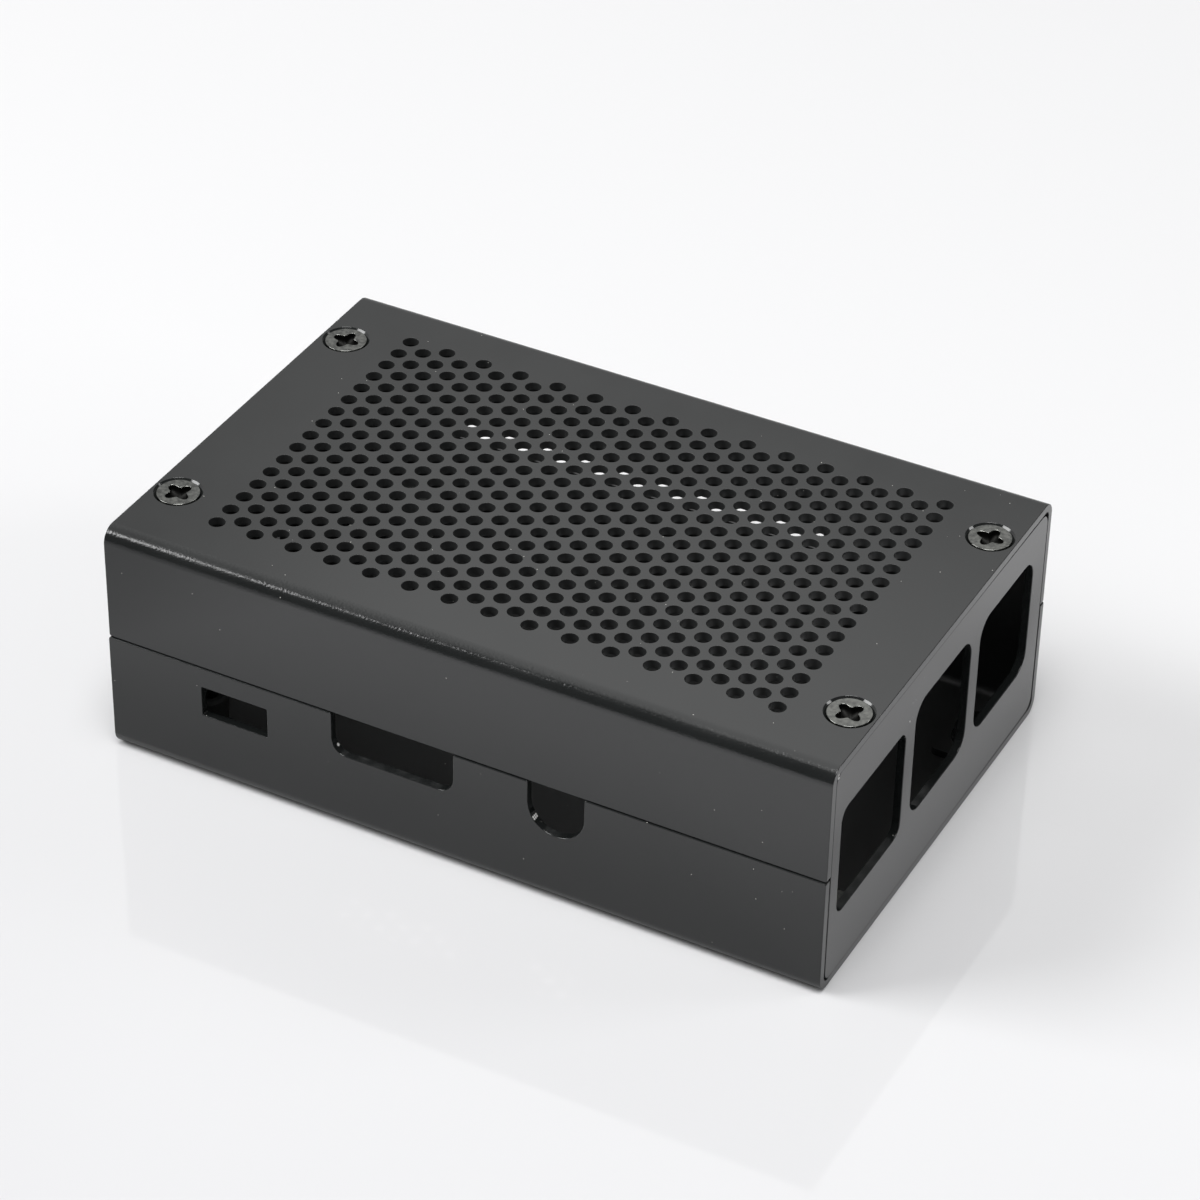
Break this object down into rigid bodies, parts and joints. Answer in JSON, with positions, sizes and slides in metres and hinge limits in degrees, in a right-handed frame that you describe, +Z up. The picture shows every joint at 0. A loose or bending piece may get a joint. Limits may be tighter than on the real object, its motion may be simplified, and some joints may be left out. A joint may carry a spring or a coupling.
{
  "type": "single-board computer case",
  "caption": "Black folded-aluminium case for a single-board computer: a perforated cover screwed over a tray, with socket openings along the front and in one end.",
  "frame": {"origin": "centre of the underside, on the surface that the case stands on", "axes": "+X along the case to the end with the network and serial openings, +Y to the back, +Z up through the perforated cover"},
  "size_m": [0.094, 0.061, 0.0314],
  "materials": {
    "black_aluminium": "satin black anodised sheet",
    "screw_steel": "dark plated steel",
    "standoff_steel": "black plated steel"
  },
  "bodies": {
    "root": {"top_cover": "black_aluminium", "bottom_tray": "black_aluminium", "port_end_plate": "black_aluminium", "card_end_plate": "black_aluminium", "cover_screws": "screw_steel", "tray_screws": "screw_steel", "standoff_front_left": "standoff_steel", "standoff_front_right": "standoff_steel", "standoff_back_left": "standoff_steel", "standoff_back_right": "standoff_steel"}
  },
  "joints": []
}
